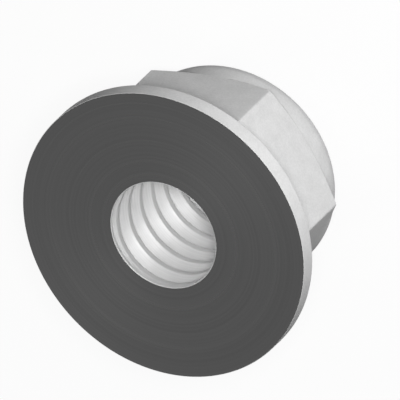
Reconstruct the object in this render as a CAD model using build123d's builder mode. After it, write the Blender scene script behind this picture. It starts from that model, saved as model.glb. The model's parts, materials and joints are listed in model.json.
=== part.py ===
from build123d import *

import os
from math import cos, pi, radians, tan

# Flange nut with a 5/16-18 thread: a hexagon on a thin round flange, and a round collar past the
# hexagon's far end, forged as one piece of steel. Millimetres, +Z up. The thread's axis is the
# Z axis. The nut stands on the flat end of its collar, at Z = 0, with its bearing face on top.

# Thread
thread_major_diameter = 7.9375
thread_pitch = 1.4111
# The minor diameter of a 60 degree thread is this many pitches under the major diameter.
minor_diameter_drop = 1.0825

# Hexagon
across_flats = 12.70
# From the bearing face to the end of the flats.
hexagon_height = 7.19
hexagon_sides = 6
corner_radius = 0.15
# The hexagon's far end is turned to a cone, this many degrees from the plane of the end.
corner_chamfer_angle = 30

# Flange
# How far the flange stands out past the flats.
flange_overhang = 2.285
rim_thickness = 1.02
# The flange rises from its rim to the hexagon at this many degrees.
flange_slope = 25
rim_edge_radius = 0.05
# Rounding in the corner where the hexagon leaves the flange.
root_radius = 0.35

# Collar
collar_height = 2.34
# The collar is turned this far inside the flats, so that a socket passes over it.
collar_relief = 0.03
collar_edge_radius = 1.45
# Countersink in the collar's end, where the tap runs out.
lead_in_depth = 0.85
lead_in_angle = 90

# Worked out from the sizes above
bore_radius = (thread_major_diameter - minor_diameter_drop * thread_pitch) / 2
lead_in_radius = bore_radius + lead_in_depth * tan(radians(lead_in_angle / 2))
flat_radius = across_flats / 2
corner_reach = flat_radius / cos(pi / hexagon_sides)
chamfer_rise = (corner_reach - flat_radius) * tan(radians(corner_chamfer_angle))
collar_radius = flat_radius - collar_relief
flange_radius = flat_radius + flange_overhang
# The flange's cone is carried on inside the hexagon as far as the bore.
cone_drop = (flange_radius - bore_radius) * tan(radians(flange_slope))
hexagon_end_z = collar_height
bearing_face_z = collar_height + hexagon_height
rim_low_z = bearing_face_z - rim_thickness
relief_drop = collar_relief * tan(radians(corner_chamfer_angle))

with BuildPart() as flange_nut:
    # Hexagon, from the collar up into the flange
    with BuildSketch(Plane.XY.offset(hexagon_end_z - relief_drop)) as hexagon_plan:
        RegularPolygon(flat_radius, hexagon_sides, major_radius=False)
        fillet(hexagon_plan.vertices(), corner_radius)
    extrude(amount=rim_low_z - hexagon_end_z + relief_drop)

    # Turned cone that takes off the hexagon's corners at its far end
    with BuildSketch(Plane.XZ):
        with BuildLine():
            Polyline(
                (0, hexagon_end_z - relief_drop),
                (collar_radius, hexagon_end_z - relief_drop),
                (corner_reach, hexagon_end_z + chamfer_rise),
                (corner_reach, bearing_face_z),
                (0, bearing_face_z),
                close=True,
            )
        make_face()
    revolve(axis=Axis.Z, mode=Mode.INTERSECT)

    # Flange: a straight rim and a cone that climbs to the hexagon
    with BuildSketch(Plane.XZ):
        with BuildLine():
            Polyline(
                (0, bearing_face_z),
                (flange_radius, bearing_face_z),
                (flange_radius, rim_low_z),
                (bore_radius, rim_low_z - cone_drop),
                (0, rim_low_z - cone_drop),
                close=True,
            )
        make_face()
    revolve(axis=Axis.Z)

    # Rounding where the hexagon leaves the flange
    flange_cone = flange_nut.faces().filter_by(GeomType.CONE).sort_by(Axis.Z)[-1]
    root_edges = flange_cone.edges().filter_by_position(
        Axis.Z, hexagon_end_z, rim_low_z, inclusive=(False, False)
    )
    fillet(root_edges, root_radius)

    # Rim edges, both the largest circles of the nut
    fillet(flange_nut.edges().filter_by(GeomType.CIRCLE).group_by(SortBy.RADIUS)[-1], rim_edge_radius)

    # Collar, with a broad rounding round its flat end
    with BuildSketch(Plane.XY):
        Circle(collar_radius)
    extrude(amount=hexagon_end_z)
    fillet(flange_nut.faces().sort_by(Axis.Z)[0].edges(), collar_edge_radius)

    # Tapped hole at its minor diameter, sharp at the bearing face and countersunk in the collar
    with Locations(Location((0, 0, 0), (180, 0, 0))):
        CounterSinkHole(bore_radius, lead_in_radius, counter_sink_angle=lead_in_angle)

flange_nut.part.label = "flange_nut"

os.makedirs("parts", exist_ok=True)
export_step(flange_nut.part, "parts/flange_nut.step")
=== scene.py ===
import json
import math

import bmesh
import bpy
from mathutils import Matrix, Vector


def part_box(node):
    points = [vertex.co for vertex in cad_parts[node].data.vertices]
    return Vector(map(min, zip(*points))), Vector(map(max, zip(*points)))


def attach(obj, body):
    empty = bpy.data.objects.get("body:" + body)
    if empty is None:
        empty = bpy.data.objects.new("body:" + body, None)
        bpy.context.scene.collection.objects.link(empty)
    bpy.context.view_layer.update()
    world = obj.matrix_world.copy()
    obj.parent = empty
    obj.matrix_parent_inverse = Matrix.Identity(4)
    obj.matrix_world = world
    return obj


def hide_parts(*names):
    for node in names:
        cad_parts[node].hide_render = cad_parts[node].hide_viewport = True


# Flange nut, dressed: the solid's own form with its edges, its 5/16-18 thread and its finish.
# Metres. The nut stands on its collar, the bearing face is on top, and Z is the thread's axis.
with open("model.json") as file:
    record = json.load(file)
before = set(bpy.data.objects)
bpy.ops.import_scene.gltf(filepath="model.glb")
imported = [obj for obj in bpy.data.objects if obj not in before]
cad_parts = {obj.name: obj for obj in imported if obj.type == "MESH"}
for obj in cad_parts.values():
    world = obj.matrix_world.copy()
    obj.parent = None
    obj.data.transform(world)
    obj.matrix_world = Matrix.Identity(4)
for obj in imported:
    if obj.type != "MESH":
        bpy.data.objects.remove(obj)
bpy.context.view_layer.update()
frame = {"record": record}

MM = 0.001

# Sizes that the frame gives

mounts = {mount["name"]: mount for mount in frame["record"]["mounts"]}
nut_low, nut_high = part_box("flange_nut")
NUT_TOP = nut_high[2]
FLANGE_R = (nut_high[0] - nut_low[0]) / 2
BORE_R = mounts["thread"]["dims"]["r_mm"] * MM
BORE_WALL = mounts["thread"]["dims"]["length_mm"] * MM
FLAT_R = -mounts["wrench_flat"]["pos_m"][1]

# Sizes of the solid that the frame doesn't give

HEXAGON_SIDES = 6
HEXAGON_HEIGHT = 7.19 * MM
HEXAGON_CORNER = 0.15 * MM
CHAMFER_ANGLE = math.radians(30)
RIM_THICKNESS = 1.02 * MM
RIM_EDGE = 0.05 * MM
FLANGE_SLOPE = math.radians(25)
ROOT_RADIUS = 0.35 * MM
COLLAR_RELIEF = 0.03 * MM
COLLAR_EDGE = 1.45 * MM

# Broken edges that only the dressed nut has

MOUTH_EDGE = 0.04 * MM
CHAMFER_EDGE = 0.07 * MM
# Near the middle of a flat the chamfer is narrow, and its edge takes at most this share of it.
CHAMFER_EDGE_SHARE = 0.8

# Thread, 60 degrees, right-hand

PITCH = 1.4111 * MM
THREAD_ANGLE = math.radians(60)
CREST_SHARE = 1 / 4
ROOT_SHARE = 1 / 8
# Each edge of the thread is rounded over this share of a pitch to both sides.
THREAD_EDGE_SHARE = 0.014
# How far below the mouth's edge the thread reaches its full depth.
MOUTH_RUN_OUT = 0.75 * MM

# Worked out from the sizes above

SECTOR = 2 * math.pi / HEXAGON_SIDES
CORNER_CENTRE_R = (FLAT_R - HEXAGON_CORNER) / math.cos(SECTOR / 2)
COLLAR_R = FLAT_R - COLLAR_RELIEF
HEXAGON_END_Z = NUT_TOP - HEXAGON_HEIGHT
RIM_LOW_Z = NUT_TOP - RIM_THICKNESS
# The countersink takes up what the hole's wall leaves of the height, and widens by as much as it is deep.
LEAD_IN_R = BORE_R + NUT_TOP - BORE_WALL
FLANK_SHARE = (1 - CREST_SHARE - ROOT_SHARE) / 2
THREAD_DEPTH = FLANK_SHARE * PITCH / math.tan(THREAD_ANGLE / 2)

# Mesh: how many steps each arc of the section has, and where rows lie on its straight stretches

MOUTH_STEPS = 3
RIM_TOP_STEPS = 10
RIM_LOW_STEPS = 4
ROOT_STEPS = 7
CHAMFER_STEPS = 3
COLLAR_STEPS = 16
FACE_ROWS = (0.004, 0.2, 0.4, 0.6, 0.8, 0.996)
FLAT_ROWS = (0.03, 0.2, 0.4, 0.6, 0.8, 0.97)
COLLAR_ROWS = (0.04, 0.3, 0.7)
NARROW_ROWS = (0.1, 0.5, 0.9)
# On the thread, from the middle of a crest to its end, and down a flank.
CREST_ROW = 0.6
FLANK_ROWS = (0.35, 0.7)
# Columns along each flat, and on each half of a corner's rounding.
FLAT_COLUMNS = 36
CORNER_COLUMNS = 3
# The helix starts this many turns below the collar's end and has this many more than the nut is high.
LOW_TURNS = 2
SPARE_TURNS = 3
MERGE_DISTANCE = 0.00001 * MM
SHARP_ANGLE = math.radians(40)

# How much an edge is rubbed to the metal, from 0 to 1

CORNER_WEAR = 0.7
CHAMFER_WEAR = 0.8

# Photograph, in pixels of its 400 by 400 frame, from the frame's upper left corner

PHOTO_SIDE_PX = 400
PX_PER_MM = 18.22
FACE_CENTRE_PX = (163.38, 235.10)
# Between the nut's axis and the line of sight.
AXIS_TILT = math.radians(38.30)
# The way the axis runs in the picture, from the bearing face to the collar, up from the right.
AXIS_RISE = math.radians(43.81)
# The camera's bearing about the nut, from +X, which sets the hexagon's corners as in the photograph.
CAMERA_BEARING = math.radians(-72.98)
CAMERA_DISTANCE = 0.30
CAMERA_CLIP = (0.01, 10.0)


def section_arc(centre, radius, start, end, steps):
    """Points (r, z) along an arc of the nut's section, angles in degrees from +r towards +Z."""
    points = []
    for step in range(steps + 1):
        angle = math.radians(start + (end - start) * step / steps)
        points.append((centre[0] + radius * math.cos(angle), centre[1] + radius * math.sin(angle)))
    return points


def between(first, last, shares):
    """Points on the straight line from first to last, at shares of its length."""
    return [
        (first[0] + (last[0] - first[0]) * share, first[1] + (last[1] - first[1]) * share)
        for share in shares
    ]


def corner_point(normal):
    """The point (x, y) on the rounding of the hexagon's corner on +X where its normal has this angle."""
    return CORNER_CENTRE_R + HEXAGON_CORNER * math.cos(normal), HEXAGON_CORNER * math.sin(normal)


def hexagon_reach(angle):
    """The hexagon's radius at an angle, with its corners rounded."""
    from_corner = abs((angle + SECTOR / 2) % SECTOR - SECTOR / 2)
    tangent_x, tangent_y = corner_point(SECTOR / 2)
    if from_corner >= math.atan2(tangent_y, tangent_x):
        return FLAT_R / math.cos(SECTOR / 2 - from_corner)
    off_centre = CORNER_CENTRE_R * math.sin(from_corner)
    return CORNER_CENTRE_R * math.cos(from_corner) + math.sqrt(HEXAGON_CORNER**2 - off_centre**2)


def at_corner(angle):
    """Whether an angle is at one of the hexagon's corners, or close beside its rounding."""
    return hexagon_reach(angle) > FLAT_R / math.cos(SECTOR / 2) - HEXAGON_CORNER


def column_angles():
    """Angles of the mesh's columns: close together at the six corners and even along the flats."""
    near_corner = []
    for step in range(-CORNER_COLUMNS, CORNER_COLUMNS + 1):
        x, y = corner_point(SECTOR / 2 * step / CORNER_COLUMNS)
        near_corner.append(math.atan2(y, x))
    # The flat's first column lies as far past the rounding as the rounding's end is from the corner.
    first = 2 * near_corner[-1]
    last = SECTOR - first
    even = [first + (last - first) * step / FLAT_COLUMNS for step in range(FLAT_COLUMNS + 1)]
    return [side * SECTOR + angle for side in range(HEXAGON_SIDES) for angle in near_corner + even]


def outer_section(angle):
    """The nut's section at an angle, from the hole's mouth over the outside to the countersink.

    Each point is (r, z, wear).
    """
    reach = hexagon_reach(angle)
    slope = math.degrees(FLANGE_SLOPE)

    mouth = section_arc((BORE_R + MOUTH_EDGE, NUT_TOP - MOUTH_EDGE), MOUTH_EDGE, 180, 90, MOUTH_STEPS)
    rim_r = FLANGE_R - RIM_EDGE
    rim_top = section_arc((rim_r, NUT_TOP - RIM_EDGE), RIM_EDGE, 90, 0, RIM_TOP_STEPS)
    rim_turn = RIM_EDGE * math.tan((math.pi / 2 - FLANGE_SLOPE) / 2)
    rim_low = section_arc((rim_r, RIM_LOW_Z + rim_turn), RIM_EDGE, 0, slope - 90, RIM_LOW_STEPS)

    # The rounding at the hexagon's root touches the flange's cone and the flat.
    root_r = reach + ROOT_RADIUS
    touch_r = root_r - ROOT_RADIUS * math.sin(FLANGE_SLOPE)
    touch_z = RIM_LOW_Z - (FLANGE_R - touch_r) * math.tan(FLANGE_SLOPE)
    root_z = touch_z - ROOT_RADIUS * math.cos(FLANGE_SLOPE)
    root = section_arc((root_r, root_z), ROOT_RADIUS, 90 + slope, 180, ROOT_STEPS)

    chamfer_z = HEXAGON_END_Z + (reach - FLAT_R) * math.tan(CHAMFER_ANGLE)
    edge = min(CHAMFER_EDGE, CHAMFER_EDGE_SHARE * (reach - COLLAR_R))
    edge_turn = edge * math.tan((math.pi / 2 - CHAMFER_ANGLE) / 2)
    edge_end = math.degrees(CHAMFER_ANGLE) - 90
    chamfer = section_arc((reach - edge, chamfer_z + edge_turn), edge, 0, edge_end, CHAMFER_STEPS)

    collar_top = (COLLAR_R, HEXAGON_END_Z - COLLAR_RELIEF * math.tan(CHAMFER_ANGLE))
    collar = section_arc((COLLAR_R - COLLAR_EDGE, COLLAR_EDGE), COLLAR_EDGE, 0, -90, COLLAR_STEPS)
    lead_in = (LEAD_IN_R, 0.0)

    corner_wear = CORNER_WEAR if at_corner(angle) else 0.0
    stretches = (
        (mouth, 0.0),
        (between(mouth[-1], rim_top[0], FACE_ROWS), 0.0),
        (rim_top, 0.0),
        (between(rim_top[-1], rim_low[0], NARROW_ROWS), 0.0),
        (rim_low, 0.0),
        (between(rim_low[-1], root[0], NARROW_ROWS), 0.0),
        (root, 0.0),
        (between(root[-1], chamfer[0], FLAT_ROWS), corner_wear),
        (chamfer, CHAMFER_WEAR),
        (between(chamfer[-1], collar_top, NARROW_ROWS), 0.0),
        ([collar_top], 0.0),
        (between(collar_top, collar[0], COLLAR_ROWS), 0.0),
        (collar, 0.0),
        (between(collar[-1], lead_in, NARROW_ROWS), 0.0),
        ([lead_in], 0.0),
    )
    return [(radius, z, wear) for points, wear in stretches for radius, z in points]


def thread_rows():
    """(share of a pitch, share of the thread's depth) along one turn's section, from crest to crest."""
    edge = THREAD_EDGE_SHARE
    crest_end = CREST_SHARE / 2
    root_start = crest_end + FLANK_SHARE
    # A flank has gone this deep where the rounding of its edge ends, and a quarter of it at the edge.
    edge_depth = edge / FLANK_SHARE
    outward = [
        (CREST_ROW * crest_end, 0.0),
        (crest_end - edge, 0.0),
        (crest_end, edge_depth / 4),
        (crest_end + edge, edge_depth),
        *[(crest_end + row * FLANK_SHARE, row) for row in FLANK_ROWS],
        (root_start - edge, 1 - edge_depth),
        (root_start, 1 - edge_depth / 4),
        (root_start + edge, 1.0),
    ]
    inward = [(1 - share, depth) for share, depth in reversed(outward)]
    return [(0.0, 0.0)] + outward + inward


def bore_point(angle, z, depth_share):
    """A point of the tapped hole. The thread runs out below the mouth and into the countersink."""
    mouth_z = NUT_TOP - MOUTH_EDGE
    z = min(max(z, 0.0), mouth_z)
    rise = min((mouth_z - z) / MOUTH_RUN_OUT, 1.0)
    run_out = rise * rise * (3 - 2 * rise)
    radius = max(BORE_R + THREAD_DEPTH * depth_share * run_out, LEAD_IN_R - z)
    return (radius * math.cos(angle), radius * math.sin(angle), z)


def outer_shell(angles):
    """The outside's points, how worn each is, and its faces, column by column."""
    points = []
    wear = []
    for angle in angles:
        for radius, z, point_wear in outer_section(angle):
            points.append((radius * math.cos(angle), radius * math.sin(angle), z))
            wear.append(point_wear)
    rows = len(points) // len(angles)
    faces = []
    for column in range(len(angles)):
        here = column * rows
        there = (column + 1) % len(angles) * rows
        for row in range(rows - 1):
            faces.append((here + row, there + row, there + row + 1, here + row + 1))
    return points, wear, faces


def bore_shell(angles, first_index):
    """The hole's points and its faces. The rows follow the helix, and those past an end lie on it."""
    turn_rows = thread_rows()
    per_turn = len(turn_rows)
    rows = (math.ceil(NUT_TOP / PITCH) + SPARE_TURNS) * per_turn
    points = []
    for angle in angles:
        for row in range(rows):
            share, depth_share = turn_rows[row % per_turn]
            turns = row // per_turn + share - LOW_TURNS + angle / (2 * math.pi)
            points.append(bore_point(angle, turns * PITCH, depth_share))
    faces = []
    for column in range(len(angles)):
        # The helix has risen by one turn where the last column meets the first.
        shift = per_turn if column == len(angles) - 1 else 0
        here = first_index + column * rows
        there = first_index + (column + 1) % len(angles) * rows + shift
        for row in range(rows - 1 - shift):
            faces.append((here + row, here + row + 1, there + row + 1, there + row))
    return points, faces


def build_nut_mesh():
    """The whole nut as one closed mesh: columns round the axis, and rows along its section."""
    angles = column_angles()
    outer_points, outer_wear, outer_faces = outer_shell(angles)
    bore_points, bore_faces = bore_shell(angles, len(outer_points))

    mesh = bpy.data.meshes.new("flange_nut_dressed")
    mesh.from_pydata(outer_points + bore_points, [], outer_faces + bore_faces)
    wear = mesh.attributes.new("edge_wear", "FLOAT", "POINT")
    wear.data.foreach_set("value", outer_wear + [0.0] * len(bore_points))
    work = bmesh.new()
    work.from_mesh(mesh)
    bmesh.ops.remove_doubles(work, verts=work.verts, dist=MERGE_DISTANCE)
    bmesh.ops.recalc_face_normals(work, faces=work.faces)
    work.to_mesh(mesh)
    work.free()
    mesh.shade_smooth()
    mesh.set_sharp_from_angle(angle=SHARP_ANGLE)
    return mesh


nut = bpy.data.objects.new("flange_nut_dressed", build_nut_mesh())
bpy.context.scene.collection.objects.link(nut)
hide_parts("flange_nut")
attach(nut, "root")


# Finish: a matte grey coating all over, with the bearing face turned and the hole tapped after it.
# A tone or a spread is how far the grey or the roughness strays to each side with a pattern.

COAT_GREY = 0.60
COAT_METALLIC = 0.03
COAT_ROUGHNESS = 0.55
COAT_ROUGHNESS_SPREAD = 0.05
COAT_SPECULAR = 0.05
COAT_GRAIN = 0.11 * MM
COAT_GRAIN_DEPTH = 0.006 * MM
COAT_GRAIN_TONE = 0.05
COAT_CLOUD = 0.9 * MM
COAT_CLOUD_TONE = 0.04
FORGED_WAVE = 0.55 * MM
FORGED_WAVE_DEPTH = 0.008 * MM

WORN_GREY = 0.72
WORN_METALLIC = 0.9
WORN_ROUGHNESS = 0.34
WORN_PATCH = 0.16 * MM
# Wear times the patches' noise, where the metal starts to show and from where it shows most.
WORN_START = 0.30
WORN_END = 0.55
# The share of metal where it shows most.
WORN_MOST = 0.5

FACE_GREY = 0.80
FACE_ROUGHNESS = 0.26
FACE_RING = 0.20 * MM
FACE_RING_DEPTH = 0.0015 * MM
FACE_RING_TONE = 0.04
FACE_RING_SPREAD = 0.02
FACE_BAND = 1.2 * MM
FACE_BAND_TONE = 0.015
FACE_BAND_SPREAD = 0.01
# How much of X goes into the rings' pattern, so that a ring isn't the same all the way round.
FACE_DRIFT = 0.006
FACE_STREAK = 0.4
FACE_STREAK_TURN = 0.25
# The turned finish goes down the rim's edge as far as its normal's Z is above this.
FACE_EDGE_NORMAL = 0.9

THREAD_GREY = 0.84
THREAD_METALLIC = 0.2
THREAD_ROUGHNESS = 0.50
THREAD_ROUGHNESS_SPREAD = 0.05
THREAD_LINE = 0.06 * MM
THREAD_LINE_DEPTH = 0.002 * MM
THREAD_LINE_TONE = 0.05
THREAD_CLOUD_TONE = 0.02
# Share of X in the lines' pattern, as on the face.
THREAD_DRIFT = 0.03
# Painted shade and dirt at the thread's root: the grey at this depth is this share of the grey at the
# crest.
THREAD_DIRT_AND_SHADE_DEPTH = 0.5 * PITCH
THREAD_DIRT_AND_SHADE_SHARE = 0.9
# The cut metal reaches this far out from the hole's wall, and this far into the countersink.
THREAD_FINISH_OUT = 0.6 * PITCH
THREAD_FINISH_DOWN = 0.5 * PITCH

# Noise keeps mostly between these values, of 0 to 1.
NOISE_LOW = 0.3
NOISE_HIGH = 0.7
FINE_DETAIL = 3.0


def feed(tree, node, inputs):
    """Give a node its inputs, by name or by number, as values or as the sockets of other nodes."""
    for name, value in inputs.items():
        if isinstance(value, bpy.types.NodeSocket):
            tree.links.new(value, node.inputs[name])
        else:
            node.inputs[name].default_value = value


def add_node(tree, kind, inputs=None, **settings):
    """A shader node with its settings and its inputs."""
    node = tree.nodes.new(kind)
    for name, value in settings.items():
        setattr(node, name, value)
    feed(tree, node, inputs or {})
    return node


def maths(tree, operation, first, second=0.0):
    """The result of a Math node."""
    return add_node(tree, "ShaderNodeMath", {0: first, 1: second}, operation=operation).outputs[0]


def span(tree, value, low, high, start=NOISE_LOW, end=NOISE_HIGH):
    """A value that runs from low to high while the one given runs from start to end."""
    node = add_node(
        tree,
        "ShaderNodeMapRange",
        {"Value": value, "From Min": start, "From Max": end, "To Min": low, "To Max": high},
    )
    return node.outputs["Result"]


def around(tree, value, middle, spread):
    """A value that strays by the spread to each side of the middle, as noise does."""
    return span(tree, value, middle - spread, middle + spread)


def blend(tree, share, first, second):
    """A value that goes from the first to the second as the share goes from 0 to 1."""
    node = add_node(tree, "ShaderNodeMix", {"Factor": share, "A": first, "B": second}, data_type="FLOAT")
    return node.outputs["Result"]


def vector(tree, x, y, z=0.0):
    """A vector of three values."""
    return add_node(tree, "ShaderNodeCombineXYZ", {0: x, 1: y, 2: z}).outputs[0]


def noise(tree, place, size, detail=2.0):
    """Noise from 0 to 1, with features about one size across."""
    inputs = {"Vector": place, "Scale": 1 / size, "Detail": detail}
    return add_node(tree, "ShaderNodeTexNoise", inputs).outputs[0]


def bump(tree, height, depth, normal=None):
    """A normal that follows a height from 0 to 1, as deep as depth."""
    inputs = {"Height": height, "Distance": depth}
    if normal:
        inputs["Normal"] = normal
    return add_node(tree, "ShaderNodeBump", inputs).outputs["Normal"]


def place_on_nut(tree):
    """The place on the nut, in its own coordinates."""
    return add_node(tree, "ShaderNodeTexCoord").outputs["Object"]


def split(tree, place):
    """A place's X, Y and Z, and its distance from the nut's axis."""
    x, y, z = add_node(tree, "ShaderNodeSeparateXYZ", {0: place}).outputs
    squares = maths(tree, "ADD", maths(tree, "POWER", x, 2), maths(tree, "POWER", y, 2))
    return x, y, z, maths(tree, "SQRT", squares)


def new_material(name):
    """A material, its node tree and its Principled shader."""
    material = bpy.data.materials.new(name)
    material.use_nodes = True
    return material, material.node_tree, material.node_tree.nodes["Principled BSDF"]


def coated_steel():
    """The coating: fine grain over a forged skin, in soft clouds, rubbed to the metal at the edges."""
    material, tree, shader = new_material("coated_steel")
    place = place_on_nut(tree)
    cloud = noise(tree, place, COAT_CLOUD)
    grain = noise(tree, place, COAT_GRAIN, FINE_DETAIL)
    wave = noise(tree, place, FORGED_WAVE)
    patch = noise(tree, place, WORN_PATCH)

    edge = add_node(tree, "ShaderNodeAttribute", attribute_name="edge_wear").outputs["Fac"]
    rubbed = maths(tree, "MULTIPLY", edge, patch)
    worn = span(tree, rubbed, 0, WORN_MOST, WORN_START, WORN_END)

    cloud_tone = around(tree, cloud, 1, COAT_CLOUD_TONE)
    tone = maths(tree, "ADD", cloud_tone, around(tree, grain, 0, COAT_GRAIN_TONE))
    grey = maths(tree, "MULTIPLY", tone, COAT_GREY)
    # The grain is smoother where it is lighter.
    cloud_rough = around(tree, cloud, 0, COAT_ROUGHNESS_SPREAD)
    grain_rough = around(tree, grain, COAT_ROUGHNESS, -COAT_ROUGHNESS_SPREAD)
    rough = maths(tree, "ADD", cloud_rough, grain_rough)
    forged = bump(tree, wave, FORGED_WAVE_DEPTH)
    feed(
        tree,
        shader,
        {
            "Base Color": blend(tree, worn, grey, WORN_GREY),
            "Metallic": blend(tree, worn, COAT_METALLIC, WORN_METALLIC),
            "Roughness": blend(tree, worn, rough, WORN_ROUGHNESS),
            "Specular IOR Level": COAT_SPECULAR,
            "Normal": bump(tree, grain, COAT_GRAIN_DEPTH, forged),
        },
    )
    return material


def turned_face():
    """The bearing face: bare steel with the fine rings of a lathe tool."""
    material, tree, shader = new_material("turned_face")
    x, _, _, radius = split(tree, place_on_nut(tree))
    rings_at = vector(tree, radius, maths(tree, "MULTIPLY", x, FACE_DRIFT))
    ring = noise(tree, rings_at, FACE_RING, FINE_DETAIL)
    band = noise(tree, rings_at, FACE_BAND)
    ring_tone = around(tree, ring, 0, FACE_RING_TONE)
    ring_rough = around(tree, ring, 0, FACE_RING_SPREAD)
    band_rough = around(tree, band, FACE_ROUGHNESS, FACE_BAND_SPREAD)
    feed(
        tree,
        shader,
        {
            "Base Color": maths(tree, "ADD", ring_tone, around(tree, band, FACE_GREY, FACE_BAND_TONE)),
            "Metallic": 1.0,
            "Roughness": maths(tree, "ADD", ring_rough, band_rough),
            "Anisotropic": FACE_STREAK,
            "Anisotropic Rotation": FACE_STREAK_TURN,
            "Tangent": add_node(tree, "ShaderNodeTangent", direction_type="RADIAL", axis="Z").outputs[0],
            "Normal": bump(tree, ring, FACE_RING_DEPTH),
        },
    )
    return material


def tapped_thread():
    """The thread: cut metal, with fine lines that run along the helix, and darker towards its root with
    painted shade and dirt.
    """
    material, tree, shader = new_material("tapped_thread")
    place = place_on_nut(tree)
    x, y, z, radius = split(tree, place)
    # How far up its own pitch a place is, which stays the same along the helix.
    turn = maths(tree, "DIVIDE", maths(tree, "ARCTAN2", y, x), 2 * math.pi)
    phase = maths(tree, "FRACT", maths(tree, "SUBTRACT", maths(tree, "DIVIDE", z, PITCH), turn))
    up_pitch = maths(tree, "MULTIPLY", phase, PITCH)
    lines_at = vector(tree, radius, up_pitch, maths(tree, "MULTIPLY", x, THREAD_DRIFT))
    line = noise(tree, lines_at, THREAD_LINE, FINE_DETAIL)
    cloud = noise(tree, place, COAT_CLOUD)
    line_tone = around(tree, line, 0, THREAD_LINE_TONE)
    grey = maths(tree, "ADD", line_tone, around(tree, cloud, THREAD_GREY, THREAD_CLOUD_TONE))
    # Painted shade and dirt: the grey darkens from the crest towards the thread's root.
    root_dirt_and_shade = span(tree, radius, 1.0, THREAD_DIRT_AND_SHADE_SHARE, BORE_R, BORE_R + THREAD_DIRT_AND_SHADE_DEPTH)
    feed(
        tree,
        shader,
        {
            "Base Color": maths(tree, "MULTIPLY", grey, root_dirt_and_shade),
            "Metallic": THREAD_METALLIC,
            "Roughness": around(tree, line, THREAD_ROUGHNESS, THREAD_ROUGHNESS_SPREAD),
            "Normal": bump(tree, line, THREAD_LINE_DEPTH),
        },
    )
    return material


def finish_of(polygon):
    """The material slot of a face of the mesh: 0 coating, 1 turned face, 2 thread."""
    z = polygon.center.z
    radius = math.hypot(polygon.center.x, polygon.center.y)
    on_top = polygon.normal.z > FACE_EDGE_NORMAL and z > NUT_TOP - RIM_EDGE
    if on_top and radius > BORE_R + MOUTH_EDGE:
        return 1
    if radius < BORE_R + THREAD_FINISH_OUT and z > NUT_TOP - BORE_WALL - THREAD_FINISH_DOWN:
        return 2
    return 0


for finish in (coated_steel(), turned_face(), tapped_thread()):
    nut.data.materials.append(finish)
for polygon in nut.data.polygons:
    polygon.material_index = finish_of(polygon)


# Floor, light and camera

FLOOR_REACH = 3.0
# What the camera and the gloss see of the floor: a share of plain white, and the rest lit as this grey.
FLOOR_GLOW = 0.91
FLOOR_WHITE = 0.95
# The grey that soft light finds there.
FLOOR_BOUNCE = 0.10
# The world's strength above and below the horizon.
WORLD_STRENGTH = 0.10
BELOW_HORIZON = 0.99


def grey_colour(grey):
    """A grey as a colour."""
    return (grey, grey, grey, 1)


def floor_material():
    """White to the camera and in the nut's gloss, with the nut's shadow on it.

    Soft light finds a darker floor, so that little of it comes back up under the flange.
    """
    material = bpy.data.materials.new("pale_floor")
    material.use_nodes = True
    tree = material.node_tree
    tree.nodes.clear()
    path = add_node(tree, "ShaderNodeLightPath").outputs
    seen = maths(tree, "MAXIMUM", path["Is Camera Ray"], path["Is Glossy Ray"])
    seen = maths(tree, "MAXIMUM", seen, path["Is Transmission Ray"])
    bounce = add_node(tree, "ShaderNodeBsdfDiffuse", {"Color": grey_colour(FLOOR_BOUNCE)}).outputs[0]
    white = add_node(tree, "ShaderNodeBsdfDiffuse", {"Color": grey_colour(FLOOR_WHITE)}).outputs[0]
    glow = add_node(tree, "ShaderNodeEmission", {"Color": grey_colour(1), "Strength": 1.0}).outputs[0]
    pale = add_node(tree, "ShaderNodeMixShader", {0: FLOOR_GLOW, 1: white, 2: glow}).outputs[0]
    mix = add_node(tree, "ShaderNodeMixShader", {0: seen, 1: bounce, 2: pale}).outputs[0]
    add_node(tree, "ShaderNodeOutputMaterial", {"Surface": mix})
    return material


def add_floor():
    """A square floor that reaches far past the view."""
    corners = [
        (-FLOOR_REACH, -FLOOR_REACH, 0),
        (FLOOR_REACH, -FLOOR_REACH, 0),
        (FLOOR_REACH, FLOOR_REACH, 0),
        (-FLOOR_REACH, FLOOR_REACH, 0),
    ]
    mesh = bpy.data.meshes.new("floor")
    mesh.from_pydata(corners, [], [(0, 1, 2, 3)])
    mesh.materials.append(floor_material())
    floor = bpy.data.objects.new("floor", mesh)
    bpy.context.scene.collection.objects.link(floor)


def direction(bearing, elevation):
    """The unit vector at a bearing from +X and an elevation."""
    level = math.cos(elevation)
    return Vector((level * math.cos(bearing), level * math.sin(bearing), math.sin(elevation)))


def soft_light(name, turn, elevation, distance, strength, width, height, in_gloss=False):
    """An area lamp aimed at the nut's middle.

    It is turned from the camera's bearing and raised, both in degrees. Its width and height are shares
    of its distance, and its strength is the irradiance at the nut over pi.
    """
    lamp = bpy.data.lights.new(name, "AREA")
    lamp.shape = "RECTANGLE"
    lamp.size = width * distance
    lamp.size_y = height * distance
    lamp.energy = strength * (math.pi * distance) ** 2
    towards = direction(CAMERA_BEARING + math.radians(turn), math.radians(elevation))
    holder = bpy.data.objects.new(name, lamp)
    holder.location = towards * distance + Vector((0, 0, NUT_TOP / 2))
    holder.rotation_euler = towards.to_track_quat("Z", "Y").to_euler()
    holder.visible_camera = False
    holder.visible_glossy = in_gloss
    bpy.context.scene.collection.objects.link(holder)


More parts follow.
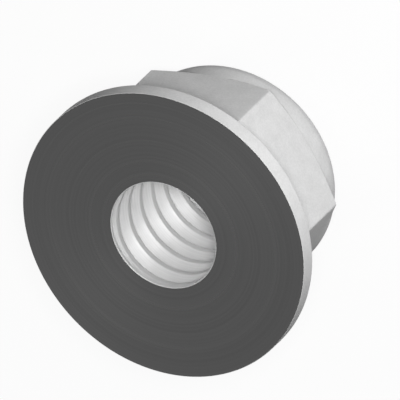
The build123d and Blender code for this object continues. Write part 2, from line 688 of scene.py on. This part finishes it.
def studio_world():
    """Dim soft light from above the horizon, and white like the floor's below it.

    The white shows in low views, where the lower part of the picture starts beneath the floor.
    """
    world = bpy.data.worlds.new("studio")
    world.use_nodes = True
    tree = world.node_tree
    tree.nodes.clear()
    sky_place = add_node(tree, "ShaderNodeTexCoord").outputs["Generated"]
    height = add_node(tree, "ShaderNodeSeparateXYZ", {0: sky_place}).outputs["Z"]
    below = maths(tree, "LESS_THAN", height, 0.0)
    strength = span(tree, below, WORLD_STRENGTH, BELOW_HORIZON, 0.0, 1.0)
    background = add_node(
        tree, "ShaderNodeBackground", {"Color": grey_colour(1), "Strength": strength}
    ).outputs[0]
    add_node(tree, "ShaderNodeOutputWorld", {"Surface": background})
    bpy.context.scene.world = world


def add_camera():
    """An orthographic camera on the photograph's line of sight, turned as it is."""
    sight = direction(CAMERA_BEARING, math.pi / 2 - AXIS_TILT)
    level_right = Vector((0, 0, 1)).cross(sight).normalized()
    level_up = sight.cross(level_right)
    # Upright, the axis would run straight down. The turn about the line of sight brings it to AXIS_RISE.
    turn = -(math.pi / 2 + AXIS_RISE)
    right = level_right * math.cos(turn) + level_up * math.sin(turn)
    up = level_up * math.cos(turn) - level_right * math.sin(turn)
    off_right = (PHOTO_SIDE_PX / 2 - FACE_CENTRE_PX[0]) / PX_PER_MM * MM
    off_up = (FACE_CENTRE_PX[1] - PHOTO_SIDE_PX / 2) / PX_PER_MM * MM
    aim = Vector((0, 0, NUT_TOP)) + right * off_right + up * off_up
    camera_data = bpy.data.cameras.new("camera")
    camera_data.type = "ORTHO"
    camera_data.ortho_scale = PHOTO_SIDE_PX / PX_PER_MM * MM
    camera_data.clip_start, camera_data.clip_end = CAMERA_CLIP
    camera = bpy.data.objects.new("camera", camera_data)
    basis = Matrix((right, up, sight)).transposed()
    camera.matrix_world = Matrix.Translation(aim + sight * CAMERA_DISTANCE) @ basis.to_4x4()
    bpy.context.scene.collection.objects.link(camera)
    bpy.context.scene.camera = camera


add_floor()
# The key lamp is near, so that its light falls off from flat to flat as steeply as in the photograph.
soft_light("key", turn=-10, elevation=3, distance=0.04, strength=0.53, width=0.30, height=0.30)
soft_light(
    "head", turn=-2, elevation=52, distance=0.5, strength=0.645, width=0.15, height=0.15, in_gloss=True
)
soft_light("back", turn=168, elevation=8, distance=0.5, strength=0.65, width=0.30, height=0.25)
studio_world()
add_camera()
bpy.context.scene.view_settings.view_transform = "Standard"
